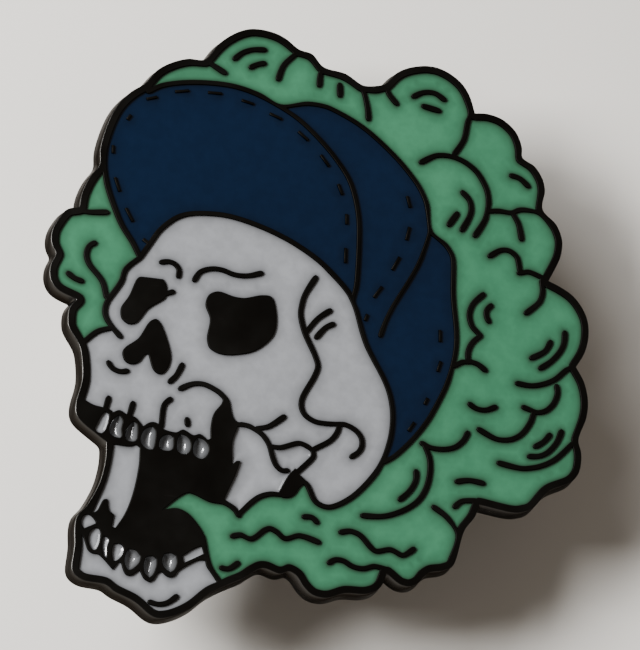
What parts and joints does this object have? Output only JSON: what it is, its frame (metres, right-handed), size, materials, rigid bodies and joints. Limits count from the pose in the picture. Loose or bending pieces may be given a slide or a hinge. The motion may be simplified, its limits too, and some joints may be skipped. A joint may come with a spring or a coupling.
{
  "type": "enamel pin",
  "caption": "A soft-enamel lapel pin of a capped skull breathing curls of smoke, struck in black nickel with sunken white, navy and green enamel and butterfly clutches on its posts.",
  "frame": {"origin": "under the middle of the plate's bounding box, level with the closed ends of the two clutches that the pin rests on", "axes": "+Z out of the enamelled face, +Y towards the top of the cap, +X to the right of the picture; the skull looks towards -X"},
  "size_m": [0.0344, 0.0376, 0.0099],
  "materials": {
    "black_nickel": "black nickel plating on struck zinc alloy, satin line tops, polished edges",
    "clutch_steel": "bright nickel-plated pressed sheet",
    "enamel_white": "glossy baked enamel, sunk below the lines",
    "enamel_navy": "glossy baked enamel, sunk below the lines",
    "enamel_green": "glossy baked enamel, sunk below the lines"
  },
  "bodies": {
    "pin": {"struck_plate": "black_nickel", "enamel_cap_brim": "enamel_navy", "enamel_cap_crown": "enamel_navy", "enamel_skull": "enamel_white", "enamel_cheek": "enamel_white", "enamel_jaw": "enamel_white", "enamel_ramus": "enamel_white", "enamel_back_tooth": "enamel_white", "enamel_upper_tooth_1": "enamel_white", "enamel_upper_tooth_2": "enamel_white", "enamel_upper_tooth_3": "enamel_white", "enamel_upper_tooth_4": "enamel_white", "enamel_upper_tooth_5": "enamel_white", "enamel_upper_tooth_6": "enamel_white", "enamel_upper_tooth_7": "enamel_white", "enamel_lower_tooth_1": "enamel_white", "enamel_lower_tooth_2": "enamel_white", "enamel_lower_tooth_3": "enamel_white", "enamel_lower_tooth_4": "enamel_white", "enamel_lower_tooth_5": "enamel_white", "enamel_lower_tooth_6": "enamel_white", "enamel_lower_tooth_7": "enamel_white", "enamel_smoke_left": "enamel_green", "enamel_smoke_right": "enamel_green", "enamel_smoke_back": "enamel_green", "post_left": "black_nickel", "post_right": "black_nickel"},
    "clutch_left_carrier": {"clutch_left_disc": "clutch_steel"},
    "clutch_left_shell": {"clutch_left_housing": "clutch_steel", "clutch_left_spring": "clutch_steel"},
    "clutch_left_grip_top": {"clutch_left_wing_top": "clutch_steel"},
    "clutch_left_grip_bottom": {"clutch_left_wing_bottom": "clutch_steel"},
    "clutch_right_carrier": {"clutch_right_disc": "clutch_steel"},
    "clutch_right_shell": {"clutch_right_housing": "clutch_steel", "clutch_right_spring": "clutch_steel"},
    "clutch_right_grip_top": {"clutch_right_wing_top": "clutch_steel"},
    "clutch_right_grip_bottom": {"clutch_right_wing_bottom": "clutch_steel"}
  },
  "joints": [
    {"name": "clutch_left_slide", "type": "slide", "parent": "pin", "child": "clutch_left_carrier", "axis": [0, 0, -1], "range_m": [0, 0.0062]},
    {"name": "clutch_left_turn", "type": "hinge", "parent": "clutch_left_carrier", "child": "clutch_left_shell", "pos_m": [-0.008, 0.0006, 0.003], "axis": [0, 0, 1], "continuous": true},
    {"name": "clutch_left_squeeze_top", "type": "hinge", "parent": "clutch_left_shell", "child": "clutch_left_grip_top", "pos_m": [-0.008, 0.0026, 0.0048], "axis": [-1, 0, 0], "range_deg": [0, 8], "stiffness_Nm_per_rad": 0.01},
    {"name": "clutch_left_squeeze_bottom", "type": "hinge", "parent": "clutch_left_shell", "child": "clutch_left_grip_bottom", "pos_m": [-0.008, -0.0014, 0.0048], "axis": [1, 0, 0], "range_deg": [0, 8], "stiffness_Nm_per_rad": 0.01},
    {"name": "clutch_right_slide", "type": "slide", "parent": "pin", "child": "clutch_right_carrier", "axis": [0, 0, -1], "range_m": [0, 0.0062]},
    {"name": "clutch_right_turn", "type": "hinge", "parent": "clutch_right_carrier", "child": "clutch_right_shell", "pos_m": [0.008, 0.0006, 0.003], "axis": [0, 0, 1], "continuous": true},
    {"name": "clutch_right_squeeze_top", "type": "hinge", "parent": "clutch_right_shell", "child": "clutch_right_grip_top", "pos_m": [0.008, 0.0026, 0.0048], "axis": [-1, 0, 0], "range_deg": [0, 8], "stiffness_Nm_per_rad": 0.01},
    {"name": "clutch_right_squeeze_bottom", "type": "hinge", "parent": "clutch_right_shell", "child": "clutch_right_grip_bottom", "pos_m": [0.008, -0.0014, 0.0048], "axis": [1, 0, 0], "range_deg": [0, 8], "stiffness_Nm_per_rad": 0.01}
  ]
}
